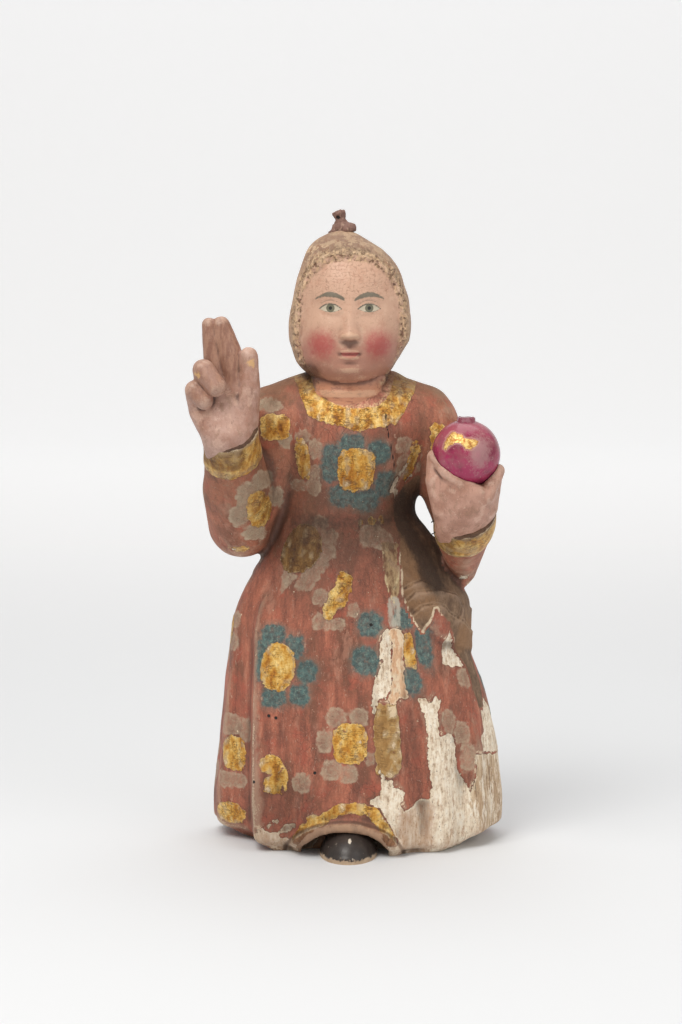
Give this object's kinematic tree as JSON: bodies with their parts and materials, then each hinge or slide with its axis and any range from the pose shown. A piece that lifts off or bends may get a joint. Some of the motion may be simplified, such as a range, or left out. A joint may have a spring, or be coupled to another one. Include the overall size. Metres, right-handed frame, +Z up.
{
  "type": "child jesus statue",
  "caption": "Carved and painted wooden devotional statue of a standing child in a long flowered robe, one hand raised in blessing and a ball in the other.",
  "frame": {"origin": "middle of the flat underside, on the floor under the body's axis", "axes": "+Z up from the underside to the halo peg; the figure faces -Y; +X is the viewer's right, on the side of the hand with the ball"},
  "size_m": [0.1484, 0.1085, 0.3004],
  "materials": {
    "figure": "matt tempera paint on gesso over wood, red-brown robe with gilt flowers, cracked, chipped and dusty",
    "right_hand": "worn flesh paint on wood, soft sheen",
    "left_hand": "worn flesh paint on wood, soft sheen",
    "ball": "glossy crimson glaze with a torn patch of gilding",
    "halo_peg": "dark bare wood, broken at the top"
  },
  "bodies": {
    "root": {"figure": "figure", "right_hand": "right_hand", "left_hand": "left_hand", "ball": "ball", "halo_peg": "halo_peg"}
  },
  "joints": []
}
